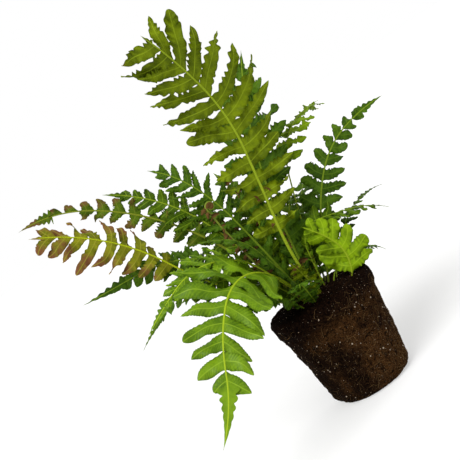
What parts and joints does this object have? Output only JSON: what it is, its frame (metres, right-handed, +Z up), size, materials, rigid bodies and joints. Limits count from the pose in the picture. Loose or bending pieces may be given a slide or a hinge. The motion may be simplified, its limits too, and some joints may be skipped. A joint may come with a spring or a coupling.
{
  "type": "fern",
  "caption": "Alpine water fern lifted out of its pot: arching fronds with leaflets cut to the rib and a rolled young frond, standing in a bare root ball that keeps the pot's shape",
  "frame": {"origin": "middle of the root ball's flat underside, on the surface it stands on", "axes": "+Z up along the root ball, +X the plant's right in the picture, -Y towards the viewer"},
  "size_m": [0.5137, 0.4042, 0.5387],
  "materials": {
    "bright_leaf": "satin",
    "dark_leaf": "satin",
    "green_leaf": "satin",
    "lime_leaf": "satin",
    "olive_leaf": "satin",
    "potting_soil": "matte",
    "russet_leaf": "satin",
    "withered_leaf": "matte",
    "young_stem": "satin"
  },
  "bodies": {
    "root": {"arching_dark_frond": "dark_leaf", "arching_lime_frond": "bright_leaf", "back_left_frond": "green_leaf", "back_right_frond": "dark_leaf", "back_short_frond": "green_leaf", "centre_green_frond": "green_leaf", "crozier": "young_stem", "far_left_frond": "dark_leaf", "front_lime_frond": "lime_leaf", "hanging_frond": "bright_leaf", "left_green_frond": "green_leaf", "left_level_frond": "dark_leaf", "left_upright_frond": "dark_leaf", "low_dark_frond": "dark_leaf", "low_left_frond": "dark_leaf", "low_olive_frond": "olive_leaf", "middle_left_frond": "green_leaf", "right_arching_frond": "green_leaf", "right_low_frond": "dark_leaf", "right_tall_frond": "dark_leaf", "right_thin_frond": "dark_leaf", "root_ball": "potting_soil", "russet_frond": "russet_leaf", "tall_dark_frond": "dark_leaf", "tall_olive_frond": "olive_leaf", "toothed_dark_frond": "dark_leaf", "withered_frond": "withered_leaf", "young_sparse_frond": "lime_leaf", "young_upright_frond": "lime_leaf"}
  },
  "joints": []
}
